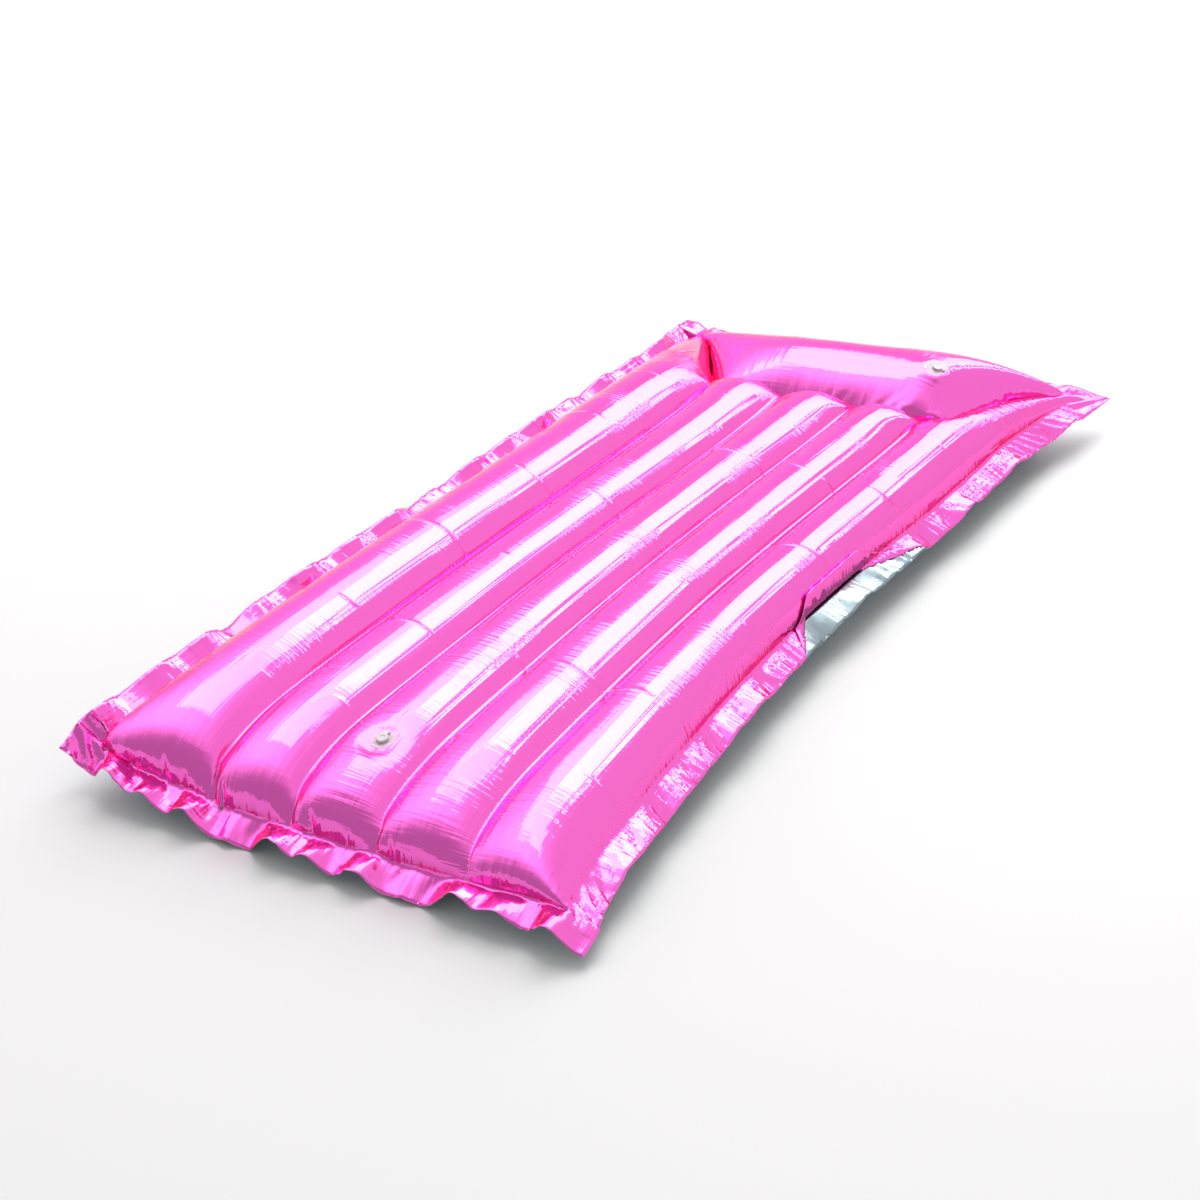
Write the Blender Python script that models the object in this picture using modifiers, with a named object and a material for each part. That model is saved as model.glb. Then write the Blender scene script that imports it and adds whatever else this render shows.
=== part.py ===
"""Inflated sun tanner mat: two welded films, four inner webs and two push-in valves.

Metres, +Z up. X runs across the mat, Y from the foot to the head, and Z = 0 is the floor.
"""
import math

import bmesh
import bpy
from mathutils import Matrix, Vector

# Flat sizes of the film, as it is cut and welded before it is blown up
INNER_TUBE_FLAT = 0.136
LEFT_TUBE_FLAT = 0.200
RIGHT_TUBE_FLAT = 0.155
WEB_HEIGHT = 0.072
PILLOW_FLAT_DEPTH = 0.270
CORNER_WELD_WIDTH = 0.020
FLANGE = 0.042
EAR_REACH = 0.047
FILM = 0.0003
SHEET_PAIR = 0.0012

# Inflated plan: where the welds lie along the mat
FOOT_WELD_Y = -0.825
WAIST_Y = -0.030
PILLOW_WELD_Y = 0.595
HEAD_CORNER_Y = 0.875
WELD_GATHER = 0.945
FOOT_CORNER_SETBACK = 0.022
FOOT_SCALLOP = 0.012
SIDE_BOW = 0.012

# Heights of the welds over the floor
FOOT_WELD_Z = 0.022
CORNER_WELD_Z = 0.058
PILLOW_WELD_Z = 0.074
LEFT_WELD_RISE = 0.018
LEFT_WEB_LEAN = 0.126
LEFT_FLANGE_RISE = 0.012
FLANGE_DROOP = 0.016
EAR_Z = 0.020
FLOOR_CUT = 0.0005

# How the tubes close at their ends
FOOT_CLOSING_LENGTH = 0.195
PILLOW_CLOSING_LENGTH = 0.100
WELD_FLIP_LENGTH = 0.055
OUTER_TUBE_END_CHORD = 0.69
OUTER_TUBE_EASE_LENGTH = 0.180
PILLOW_CROWN = 1.08
PILLOW_LEFT_TAPER = 2.2
PILLOW_RIGHT_TAPER = 3.6
PILLOW_POINT_TAPER = 1.5
HEAD_SKEW = 0.034

# Faces of the film: columns in each tube, and rows along the mat
TUBES = 5
TUBE_COLUMNS = 5
# Rows are shares of: the foot closing, the open part of the tubes, the pillow closing, the pillow
FOOT_ROWS = (0.0, 0.09, 0.28)
BODY_ROWS = (0.233, 0.483, 0.733)
PILLOW_END_ROWS = (0.75, 0.26, 0.0)
HEAD_ROWS = (0.12, 0.26, 0.385, 0.525, 0.68, 0.85, 1.0)
WEB_END_MARGIN = 0.049

# Valves
MATTRESS_VALVE_FROM_FOOT = 0.125
VALVE_SEAT_LENGTH = 0.042
PILLOW_VALVE_TUBE = 4
PILLOW_VALVE_COLUMN = 2
PILLOW_VALVE_ROW = 3
VALVE_GAP = 0.0003
BASE_RADIUS = 0.0170
BASE_THICKNESS = 0.0012
SLEEVE_WALL = 0.0015
SLEEVE_DEPTH = 0.0045
NECK_BORE_RADIUS = 0.0048
NECK_WALL = 0.0020
NECK_DEPTH = 0.0170
NECK_RIM_RADIUS = 0.0082
NECK_RIM_THICKNESS = 0.0012
PLUG_HEAD_RADIUS = 0.0080
PLUG_HEAD_THICKNESS = 0.0022
PLUG_SHANK_LENGTH = 0.0050
PLUG_TOP_CLEARANCE = 0.0003
PLUG_TAPER = 0.0007
STRAP_WIDTH = 0.0050
STRAP_THICKNESS = 0.0010
STRAP_ROOT_RADIUS = 0.0136
FLAP_THICKNESS = 0.0006
FLAP_OVERLAP = 0.0008
FLAP_TAB_WIDTH = 0.0040
TURNED_SIDES = 24

NAME = "sun_tanner_pool_float"


def clear_scene():
    for obj in list(bpy.data.objects):
        bpy.data.objects.remove(obj, do_unlink=True)


def make_collection(name):
    collection = bpy.data.collections.new(name)
    bpy.context.scene.collection.children.link(collection)
    return collection


def make_material(name, color, roughness, metallic, alpha=1.0):
    material = bpy.data.materials.new(name)
    material.use_nodes = True
    shader = material.node_tree.nodes["Principled BSDF"]
    shader.inputs["Base Color"].default_value = (*color, 1.0)
    shader.inputs["Roughness"].default_value = roughness
    shader.inputs["Metallic"].default_value = metallic
    shader.inputs["Alpha"].default_value = alpha
    return material


def mix(low, high, share):
    return low + (high - low) * share


def ease(share):
    """Smooth step from 0 to 1."""
    share = min(max(share, 0.0), 1.0)
    return share * share * (3.0 - 2.0 * share)


def closing(distance, length):
    """How far a tube has opened at a distance from its end weld: a quarter ellipse, 0 to 1."""
    share = min(max(distance / length, 0.0), 1.0)
    return math.sqrt(1.0 - (1.0 - share) ** 2)


def half_angle(chord_share):
    """Half the angle of a circular arc whose chord is this share of its length."""
    chord_share = min(chord_share, 0.9999)
    low, high = 0.001, math.pi
    for _ in range(40):
        middle = (low + high) / 2
        if math.sin(middle) / middle > chord_share:
            low = middle
        else:
            high = middle
    return low


def arc_point(start, end, length, share, bulge):
    """A point of the arc of film between two (x, z) points. bulge is 1 for up, -1 for down."""
    chord = math.hypot(end[0] - start[0], end[1] - start[1])
    angle = half_angle(chord / length)
    radius = length / (2 * angle)
    turn = (2 * share - 1) * angle
    along = (chord / 2 + radius * math.sin(turn)) / chord
    out = radius * (math.cos(turn) - math.cos(angle)) * bulge
    across = ((end[0] - start[0]) / chord, (end[1] - start[1]) / chord)
    return (mix(start[0], end[0], along) - across[1] * out, mix(start[1], end[1], along) + across[0] * out)


def round_inner_chord():
    """Pitch of the inner tubes when the webs are taut: both films are arcs of one radius."""
    low, high = 0.01, math.pi / 2
    for _ in range(40):
        angle = (low + high) / 2
        if INNER_TUBE_FLAT * math.cos(angle) / angle > WEB_HEIGHT:
            low = angle
        else:
            high = angle
    return INNER_TUBE_FLAT * math.sin(low) / low


def round_outer_chord(flat):
    """Width of an outer tube, whose film turns on past the web to an upright outer weld."""
    low, high = 0.01, math.pi / 2
    for _ in range(40):
        angle = (low + high) / 2
        radius = flat / (angle + math.pi / 2)
        if 2 * radius * math.cos(angle) > WEB_HEIGHT:
            low = angle
        else:
            high = angle
    return flat / (low + math.pi / 2) * (math.sin(low) + 1)


# Sides are named by their hand: -1 is the left of the mat, 1 the right, seen from its foot
OUTER_TUBE_FLAT = {-1: LEFT_TUBE_FLAT, 1: RIGHT_TUBE_FLAT}
INNER_CHORD = round_inner_chord()
OUTER_CHORD = {hand: round_outer_chord(flat) for hand, flat in OUTER_TUBE_FLAT.items()}
INNER_TUBES = TUBES - 2
FLAT_WIDTH = LEFT_TUBE_FLAT + INNER_TUBES * INNER_TUBE_FLAT + RIGHT_TUBE_FLAT


def flare(y):
    """0 at the waist, 1 at the foot weld and at the head corners."""
    reach = HEAD_CORNER_Y - WAIST_Y if y > WAIST_Y else WAIST_Y - FOOT_WELD_Y
    return min(abs(y - WAIST_Y) / reach, 1.0) ** 1.5


def side_bow(y):
    """Sideways shift: the left side lies straight, the right side waisted."""
    return -SIDE_BOW * (1.0 - 2.0 * flare(y))


def bend(point):
    """The lie of the mat in the photo: a little bow to the left, and a head end that is not quite square."""
    point.y += HEAD_SKEW * ease((point.y - WAIST_Y) / (HEAD_CORNER_Y - WAIST_Y)) * point.x / (FLAT_WIDTH / 2)
    point.x += side_bow(point.y)


def inner_pitch(y):
    return mix(INNER_CHORD, INNER_TUBE_FLAT * WELD_GATHER, flare(y))


def outer_width(y, hand):
    flat = OUTER_TUBE_FLAT[hand]
    free = mix(OUTER_CHORD[hand], flat * WELD_GATHER, flare(y))
    near_pillow = ease(1.0 - (PILLOW_WELD_Y - y) / OUTER_TUBE_EASE_LENGTH)
    return mix(free, flat * OUTER_TUBE_END_CHORD, near_pillow)


def half_width(y):
    return (outer_width(y, -1) + INNER_TUBES * inner_pitch(y) + outer_width(y, 1)) / 2


def groove_x(y, groove):
    """Grooves 0 to 3 lie between the tubes, from left to right."""
    return -half_width(y) + outer_width(y, -1) + groove * inner_pitch(y)


def web_height(y):
    return WEB_HEIGHT * closing(y - FOOT_WELD_Y, FOOT_CLOSING_LENGTH) * closing(PILLOW_WELD_Y - y, PILLOW_CLOSING_LENGTH)


def tube_sag(y):
    """How far the lowest face of an inner tube hangs below its grooves."""
    angle = half_angle(inner_pitch(y) / INNER_TUBE_FLAT)
    radius = INNER_TUBE_FLAT / (2 * angle)
    return radius * (math.cos(angle / TUBE_COLUMNS) - math.cos(angle))


def middle_z(y):
    """Height of the middle plane of the inner tubes, halfway up the webs."""
    resting = WEB_HEIGHT / 2 + tube_sag(y) + SHEET_PAIR / 2 - FLOOR_CUT
    height = mix(FOOT_WELD_Z, resting, closing(y - FOOT_WELD_Y, FOOT_CLOSING_LENGTH))
    return mix(height, PILLOW_WELD_Z, ease(1.0 - (PILLOW_WELD_Y - y) / PILLOW_CLOSING_LENGTH))


def outer_weld_z(y, hand):
    """The left tube is the fattest and stands on the floor, so its weld is rolled up a little."""
    open_z = middle_z(WAIST_Y) - FLOOR_CUT + (LEFT_WELD_RISE if hand < 0 else 0.0)
    return mix(open_z, CORNER_WELD_Z, flare(y) ** 2)


def web_lean(y, groove):
    """How far the web beside the left tube leans over, top to bottom."""
    return LEFT_WEB_LEAN * web_height(y) if groove == 0 else 0.0


def weld_flip(y):
    """1 at an end weld, where both films follow one line, and 0 where the tubes are open."""
    foot = 1.0 - (y - FOOT_WELD_Y) / WELD_FLIP_LENGTH
    pillow = 1.0 - (PILLOW_WELD_Y - y) / WELD_FLIP_LENGTH
    return ease(max(foot, pillow))


def foot_shift(y, x, share):
    """The foot weld is scalloped between the grooves and set back towards its corners."""
    fade = ease(1.0 - (y - FOOT_WELD_Y) / FOOT_CLOSING_LENGTH)
    return fade * (FOOT_SCALLOP * 4 * share * (1 - share) + FOOT_CORNER_SETBACK * (x / half_width(y)) ** 2)


def body_point(tube, share, y, side):
    """A point of the tubes between the foot weld and the pillow weld. side is 1 on the top film."""
    edge_z = middle_z(y) + web_height(y) / 2 * side
    grooves = [(groove_x(y, groove) + web_lean(y, groove) / 2 * side, edge_z) for groove in range(TUBES - 1)]
    left = (-half_width(y), outer_weld_z(y, -1))
    right = (half_width(y), outer_weld_z(y, 1))
    start, end = ([left] + grooves + [right])[tube:tube + 2]
    if 0 < tube < TUBES - 1:
        length = INNER_TUBE_FLAT
        bulge = mix(side, 1.0, weld_flip(y))
    else:
        length = OUTER_TUBE_FLAT[-1 if tube == 0 else 1]
        bulge = mix(side, 1.0, ease(1.0 - (y - FOOT_WELD_Y) / WELD_FLIP_LENGTH))
    x, z = arc_point(start, end, length, share, bulge)
    return x, y + foot_shift(y, x, share), z


def side_tube_flat(t, hand):
    """Flat width of an outer tube beside the pillow, down to the corner weld."""
    return mix(OUTER_TUBE_FLAT[hand], CORNER_WELD_WIDTH, t)


def side_tube_edges(t, hand):
    """Distances from the middle line to the inner and the outer weld of an outer tube."""
    chord = side_tube_flat(t, hand) * mix(OUTER_TUBE_END_CHORD, 0.98, t ** 3)
    outer = mix(half_width(PILLOW_WELD_Y), FLAT_WIDTH / 2 * WELD_GATHER, t ** 1.2)
    return outer - chord, outer


def head_point(tube, share, t, side):
    """A point beside or in the pillow, t from 0 at its front weld to 1 at the head corners."""
    valley = mix(PILLOW_WELD_Z, CORNER_WELD_Z, t)
    if tube in (0, TUBES - 1):
        hand = -1 if tube == 0 else 1
        inner, outer = side_tube_edges(t, hand)
        inner_end = (hand * inner, valley)
        outer_end = (hand * outer, mix(outer_weld_z(PILLOW_WELD_Y, hand), CORNER_WELD_Z, t))
        start, end = (outer_end, inner_end) if tube == 0 else (inner_end, outer_end)
        x, z = arc_point(start, end, side_tube_flat(t, hand), share, side)
        return x, mix(PILLOW_WELD_Y, HEAD_CORNER_Y, t), z
    along = (tube - 1 + share) / INNER_TUBES
    fraction = along * 2 - 1
    hand = -1 if fraction < 0 else 1
    front_half = INNER_TUBES / 2 * INNER_TUBE_FLAT
    end_flat = OUTER_TUBE_FLAT[hand] - CORNER_WELD_WIDTH
    taper = max(0.0, (abs(fraction) * (front_half + end_flat * t) - front_half) / end_flat)
    depth = PILLOW_FLAT_DEPTH * (1.0 - taper)
    run = (t - taper) / (1.0 - taper) if taper < 0.999 else 0.0
    chord = depth * 2 / math.pi
    front = mix(PILLOW_WELD_Y, HEAD_CORNER_Y, taper)
    end_taper = PILLOW_LEFT_TAPER if hand < 0 else PILLOW_RIGHT_TAPER
    fullness = math.sqrt((1.0 - abs(fraction) ** end_taper) * (1.0 - taper ** PILLOW_POINT_TAPER))
    rise = PILLOW_FLAT_DEPTH / math.pi * fullness * math.sin(math.pi * run)
    weld_z = mix(PILLOW_WELD_Z, CORNER_WELD_Z, max(taper, 0.0))
    up = rise * PILLOW_CROWN
    down = rise * (PILLOW_WELD_Z + FLOOR_CUT) / (PILLOW_FLAT_DEPTH / math.pi)
    seam = body_point(tube, share, PILLOW_WELD_Y, side)[2] - PILLOW_WELD_Z
    z = weld_z + (up if side > 0 else -down) + seam * (1.0 - ease(t / 0.3))
    x = mix(-side_tube_edges(t, -1)[0], side_tube_edges(t, 1)[0], along)
    return x, front + chord / 2 * (1 - math.cos(math.pi * run)), z


def seat_rows():
    middle = FOOT_WELD_Y + MATTRESS_VALVE_FROM_FOOT
    return (middle - VALVE_SEAT_LENGTH / 2, middle + VALVE_SEAT_LENGTH / 2)


def film_rows():
    """Rows from the foot weld to the head weld, as ("body", y) or ("head", t)."""
    body = [FOOT_WELD_Y + row * FOOT_CLOSING_LENGTH for row in FOOT_ROWS]
    body += seat_rows()
    body += [mix(seat_rows()[1], PILLOW_WELD_Y, row) for row in BODY_ROWS]
    body += [PILLOW_WELD_Y - row * PILLOW_CLOSING_LENGTH for row in PILLOW_END_ROWS]
    return [("body", y) for y in body] + [("head", t) for t in HEAD_ROWS]


def film_grid(side):
    """Outer surface of one film: rows of points from the foot flange to the head flange."""
    rows = []
    for kind, place in film_rows():
        row = []
        for tube in range(TUBES):
            for step in range(TUBE_COLUMNS + (tube == TUBES - 1)):
                share = step / TUBE_COLUMNS
                point = body_point if kind == "body" else head_point
                row.append(Vector(point(tube, share, place, side)))
        rows.append(row)
    half_pair = SHEET_PAIR / 2 * side
    for row in rows:
        left, right = row[0].copy(), row[-1].copy()
        left += Vector((-FLANGE, 0.0, LEFT_FLANGE_RISE))
        right += Vector((FLANGE, 0.0, -FLANGE_DROOP))
        row.insert(0, left)
        row.append(right)
    foot = [point + Vector((0.0, -FLANGE, -FLANGE_DROOP / 2)) for point in rows[0]]
    head = [point + Vector((0.0, FLANGE, -FLANGE_DROOP)) for point in rows[-1]]
    for edge, corner_row, way in ((foot, rows[0], -1), (head, rows[-1], 1)):
        for column, inner, hand in ((0, 1, -1), (-1, -2, 1)):
            corner = corner_row[inner]
            edge[column] = Vector((corner.x + hand * EAR_REACH, corner.y + way * EAR_REACH, EAR_Z))
    rows = [foot] + rows + [head]
    for row in rows:
        for point in row:
            point.z = max(point.z + half_pair, 0.0 if side < 0 else half_pair)
            bend(point)
    return rows


def level_seat(rows, row, column):
    """Moves the corners of one face onto their middle plane, so that a valve can sit flat on it."""
    corners = [rows[row][column], rows[row][column + 1], rows[row + 1][column + 1], rows[row + 1][column]]
    centre = sum(corners, Vector()) / 4
    normal = (corners[2] - corners[0]).cross(corners[3] - corners[1]).normalized()
    for corner in corners:
        corner -= normal * (corner - centre).dot(normal)
    return centre, normal


def film_object(name, rows, side, material, parent, collection):
    """A grid that takes the film's form, thickened inwards."""
    mesh = bpy.data.meshes.new(name)
    grid = bmesh.new()
    columns = len(rows[0])
    bmesh.ops.create_grid(grid, x_segments=columns - 1, y_segments=len(rows) - 1, size=1.0)
    grid.verts.ensure_lookup_table()
    for index, vertex in enumerate(grid.verts):
        vertex.co = rows[index // columns][index % columns]
    if side < 0:
        bmesh.ops.reverse_faces(grid, faces=grid.faces[:])
    grid.to_mesh(mesh)
    grid.free()
    mesh.materials.append(material)
    obj = bpy.data.objects.new(name, mesh)
    obj.parent = parent
    collection.objects.link(obj)
    shell = obj.modifiers.new("film", "SOLIDIFY")
    shell.thickness = FILM
    shell.offset = -1.0
    shell.use_even_offset = False
    return obj


def web_object(groove, material, parent, collection):
    """One inner web: an upright strip between the two films along a groove."""
    name = f"web_{groove + 1}"
    stations = [y for kind, y in film_rows() if kind == "body"]
    low = FOOT_WELD_Y + WEB_END_MARGIN
    high = PILLOW_WELD_Y - WEB_END_MARGIN
    stations = [y for y in stations if low <= y <= high]
    film_to_web = FILM * 1.6 + VALVE_GAP
    mesh = bpy.data.meshes.new(name)
    strip = bmesh.new()
    bmesh.ops.create_grid(strip, x_segments=1, y_segments=len(stations) - 1, size=1.0)
    strip.verts.ensure_lookup_table()
    for index, vertex in enumerate(strip.verts):
        y = stations[index // 2]
        side = 1 if index % 2 else -1
        x = groove_x(y, groove) + web_lean(y, groove) / 2 * side
        shifted = y + foot_shift(y, x, 0.0)
        reach = web_height(y) / 2 + SHEET_PAIR / 2 - film_to_web
        point = Vector((x, shifted, middle_z(y) + side * reach))
        bend(point)
        vertex.co = point
    strip.to_mesh(mesh)
    strip.free()
    mesh.materials.append(material)
    obj = bpy.data.objects.new(name, mesh)
    obj.parent = parent
    collection.objects.link(obj)
    shell = obj.modifiers.new("film", "SOLIDIFY")
    shell.thickness = FILM
    shell.offset = 0.0
    return obj


def add_empty(name, location, parent, collection):
    empty = bpy.data.objects.new(name, None)
    empty.empty_display_size = 0.01
    empty.location = location
    empty.parent = parent
    collection.objects.link(empty)
    return empty


def turned(name, profile, material, parent, collection, closed):
    """A turned piece: a profile of (radius, height) points, down the outer side, about the valve axis."""
    mesh = bpy.data.meshes.new(name)
    outline = bmesh.new()
    points = [outline.verts.new((radius, 0.0, height)) for radius, height in profile]
    for first, second in zip(points, points[1:]):
        outline.edges.new((first, second))
    if closed:
        outline.edges.new((points[-1], points[0]))
    outline.to_mesh(mesh)
    outline.free()
    mesh.materials.append(material)
    obj = bpy.data.objects.new(name, mesh)
    obj.parent = parent
    collection.objects.link(obj)
    screw = obj.modifiers.new("turn", "SCREW")
    screw.steps = TURNED_SIDES
    screw.render_steps = TURNED_SIDES
    screw.use_merge_vertices = True
    screw.merge_threshold = 0.00001
    return obj


def add_box(name, low, high, material, parent, collection):
    mesh = bpy.data.meshes.new(name)
    box = bmesh.new()
    bmesh.ops.create_cube(box, size=1.0)
    size = Vector(high) - Vector(low)
    centre = (Vector(high) + Vector(low)) / 2
    bmesh.ops.scale(box, vec=size, verts=box.verts[:])
    bmesh.ops.translate(box, vec=centre, verts=box.verts[:])
    box.to_mesh(mesh)
    box.free()
    mesh.materials.append(material)
    obj = bpy.data.objects.new(name, mesh)
    obj.parent = parent
    collection.objects.link(obj)
    return obj


def add_boolean(obj, tool, operation):
    boolean = obj.modifiers.new(operation.lower(), "BOOLEAN")
    boolean.operation = operation
    boolean.object = tool
    boolean.solver = "EXACT"
    tool.hide_render = True
    tool.display_type = "WIRE"


def valve(prefix, seat, normal, strap_way, film, materials, parts, cutters):
    """A push-in valve on one face of the film. strap_way is the direction the strap lies in."""
    clear_pvc, white_pvc = materials
    base = add_empty(f"{prefix}_valve_seat", seat, film.parent, parts)
    x_axis = (strap_way - normal * strap_way.dot(normal)).normalized()
    y_axis = normal.cross(x_axis)
    base.rotation_euler = Matrix((x_axis, y_axis, normal)).transposed().to_euler()

    base_low = VALVE_GAP
    base_top = base_low + BASE_THICKNESS
    neck_radius = NECK_BORE_RADIUS + NECK_WALL
    sleeve_bore = neck_radius + VALVE_GAP
    sleeve_radius = sleeve_bore + SLEEVE_WALL
    turned(f"{prefix}_valve_base", [
        (BASE_RADIUS - BASE_THICKNESS / 2, base_top), (BASE_RADIUS, base_top - BASE_THICKNESS / 2),
        (BASE_RADIUS, base_low), (sleeve_radius, base_low), (sleeve_radius, -SLEEVE_DEPTH),
        (sleeve_bore, -SLEEVE_DEPTH), (sleeve_bore, base_top),
    ], clear_pvc, base, parts, True)

    hole = turned(f"{prefix}_film_hole", [
        (0.0, 2 * BASE_THICKNESS), (sleeve_radius + VALVE_GAP, 2 * BASE_THICKNESS),
        (sleeve_radius + VALVE_GAP, -2 * BASE_THICKNESS), (0.0, -2 * BASE_THICKNESS),
    ], clear_pvc, base, cutters, False)
    add_boolean(film, hole, "DIFFERENCE")

    slide = add_empty(f"{prefix}_valve_slide", (0.0, 0.0, 0.0), base, parts)
    rim_low = base_top + VALVE_GAP
    rim_top = rim_low + NECK_RIM_THICKNESS
    neck = turned(f"{prefix}_valve_stem", [
        (NECK_RIM_RADIUS, rim_top), (NECK_RIM_RADIUS, rim_low), (neck_radius, rim_low),
        (neck_radius, -NECK_DEPTH), (NECK_BORE_RADIUS, -NECK_DEPTH), (NECK_BORE_RADIUS, rim_top),
    ], clear_pvc, slide, parts, True)
    lug = add_box(f"{prefix}_strap_lug", (neck_radius, -STRAP_WIDTH * 0.6, rim_low),
                  (STRAP_ROOT_RADIUS, STRAP_WIDTH * 0.6, rim_top), clear_pvc, slide, cutters)
    add_boolean(neck, lug, "UNION")

    head_low = rim_top + VALVE_GAP
    head_top = head_low + PLUG_HEAD_THICKNESS
    hinge = add_empty(f"{prefix}_valve_hinge", (STRAP_ROOT_RADIUS, 0.0, head_low), slide, parts)
    shank_top = NECK_BORE_RADIUS - PLUG_TOP_CLEARANCE
    plug = turned(f"{prefix}_valve_plug", [
        (0.0, head_top - 0.0006), (0.0034, head_top - 0.0006), (0.0042, head_top),
        (PLUG_HEAD_RADIUS - 0.0008, head_top), (PLUG_HEAD_RADIUS, head_top - 0.0008),
        (PLUG_HEAD_RADIUS, head_low), (shank_top, head_low),
        (shank_top - PLUG_TAPER, head_low - PLUG_SHANK_LENGTH), (0.0, head_low - PLUG_SHANK_LENGTH),
    ], white_pvc, hinge, parts, False)
    plug.location = -hinge.location
    strap = add_box(f"{prefix}_valve_strap", (PLUG_HEAD_RADIUS + VALVE_GAP, -STRAP_WIDTH / 2, head_low),
                    (STRAP_ROOT_RADIUS, STRAP_WIDTH / 2, head_low + STRAP_THICKNESS), white_pvc, hinge, parts)
    strap.location = -hinge.location

    flap_top = -NECK_DEPTH - VALVE_GAP
    flap_radius = NECK_BORE_RADIUS + FLAP_OVERLAP
    flap_hinge = add_empty(f"{prefix}_flap_hinge", (neck_radius, 0.0, flap_top), slide, parts)
    flap = turned(f"{prefix}_valve_flap", [
        (0.0, flap_top), (flap_radius, flap_top), (flap_radius, flap_top - FLAP_THICKNESS),
        (0.0, flap_top - FLAP_THICKNESS),
    ], clear_pvc, flap_hinge, parts, False)
    tab = add_box(f"{prefix}_flap_tab", (NECK_BORE_RADIUS - FLAP_OVERLAP, -FLAP_TAB_WIDTH / 2,
                                         flap_top - FLAP_THICKNESS),
                  (neck_radius, FLAP_TAB_WIDTH / 2, flap_top), clear_pvc, flap_hinge, cutters)
    flap.location = -flap_hinge.location
    tab.location = -flap_hinge.location
    add_boolean(flap, tab, "UNION")


def build():
    clear_scene()
    parts = make_collection(NAME)
    cutters = make_collection("cutters")
    pink = make_material("pink_metallised_film", (1.0, 0.25, 0.70), 0.12, 1.0)
    silver = make_material("silver_film", (0.52, 0.58, 0.64), 0.30, 1.0)
    web_film = make_material("web_film", (0.85, 0.60, 0.80), 0.35, 0.0, 0.6)
    clear_pvc = make_material("clear_pvc", (0.95, 0.85, 0.95), 0.15, 0.0, 0.7)
    white_pvc = make_material("white_pvc", (0.90, 0.88, 0.92), 0.25, 0.0)

    top_rows = film_grid(1)
    bottom_rows = film_grid(-1)
    body_rows = [row for kind, row in film_rows() if kind == "body"]
    seat_row = body_rows.index(seat_rows()[0]) + 1
    seat_column = 1 + TUBES // 2 * TUBE_COLUMNS + TUBE_COLUMNS // 2
    mattress_seat = level_seat(top_rows, seat_row, seat_column)
    pillow_row = len(body_rows) + PILLOW_VALVE_ROW
    pillow_column = 1 + (PILLOW_VALVE_TUBE - 1) * TUBE_COLUMNS + PILLOW_VALVE_COLUMN
    pillow_seat = level_seat(top_rows, pillow_row, pillow_column)

    points = [point for row in top_rows + bottom_rows for point in row]
    centre_x = (min(point.x for point in points) + max(point.x for point in points)) / 2
    centre_y = (min(point.y for point in points) + max(point.y for point in points)) / 2
    plan = add_empty("mat_plan", (-centre_x, -centre_y, 0.0), None, parts)
    top = film_object("top_film", top_rows, 1, pink, plan, parts)
    film_object("bottom_film", bottom_rows, -1, silver, plan, parts)
    for groove in range(TUBES - 1):
        web_object(groove, web_film, plan, parts)
    plastics = (clear_pvc, white_pvc)
    valve("mattress", *mattress_seat, Vector((0.0, 1.0, 0.0)), top, plastics, parts, cutters)
    valve("pillow", *pillow_seat, Vector((1.0, 0.0, 0.0)), top, plastics, parts, cutters)
    bpy.context.view_layer.update()


build()
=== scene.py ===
"""Looks of the sun tanner pool float: blown-up film, its welds, webs and valves."""
import math

import bpy
import numpy as np
from mathutils import Matrix, Vector


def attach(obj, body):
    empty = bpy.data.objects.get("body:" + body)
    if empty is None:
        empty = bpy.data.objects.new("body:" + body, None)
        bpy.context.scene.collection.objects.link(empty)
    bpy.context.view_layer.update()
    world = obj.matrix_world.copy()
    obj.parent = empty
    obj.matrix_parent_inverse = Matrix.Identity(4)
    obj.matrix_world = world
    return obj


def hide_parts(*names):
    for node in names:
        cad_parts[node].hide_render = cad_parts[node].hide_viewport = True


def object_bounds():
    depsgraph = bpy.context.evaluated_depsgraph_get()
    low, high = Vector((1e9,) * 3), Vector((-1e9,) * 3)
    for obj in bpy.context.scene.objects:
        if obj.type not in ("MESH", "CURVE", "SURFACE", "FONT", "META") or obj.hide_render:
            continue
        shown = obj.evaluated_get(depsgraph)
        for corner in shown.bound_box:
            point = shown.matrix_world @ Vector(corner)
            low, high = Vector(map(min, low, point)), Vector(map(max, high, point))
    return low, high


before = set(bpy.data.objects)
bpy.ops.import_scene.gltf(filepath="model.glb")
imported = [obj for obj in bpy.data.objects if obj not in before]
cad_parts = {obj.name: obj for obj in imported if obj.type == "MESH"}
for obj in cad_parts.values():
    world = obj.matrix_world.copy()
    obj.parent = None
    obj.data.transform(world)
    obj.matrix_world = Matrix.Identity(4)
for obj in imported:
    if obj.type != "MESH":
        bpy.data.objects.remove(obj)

CAD_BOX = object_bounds()

# Sizes of the flat film, in metres, as in the CAD source
LEFT_FLAT, INNER_FLAT, RIGHT_FLAT = 0.200, 0.136, 0.155
FLANGE = 0.042
WEB_HEIGHT = 0.072
BODY_LENGTH = 1.468          # from the foot weld to the pillow's front weld
PILLOW_DEPTH = 0.270
CORNER_WIDTH = 0.020
FILM = 0.0003
FLAT_WIDTH = LEFT_FLAT + 3 * INNER_FLAT + RIGHT_FLAT

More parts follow.
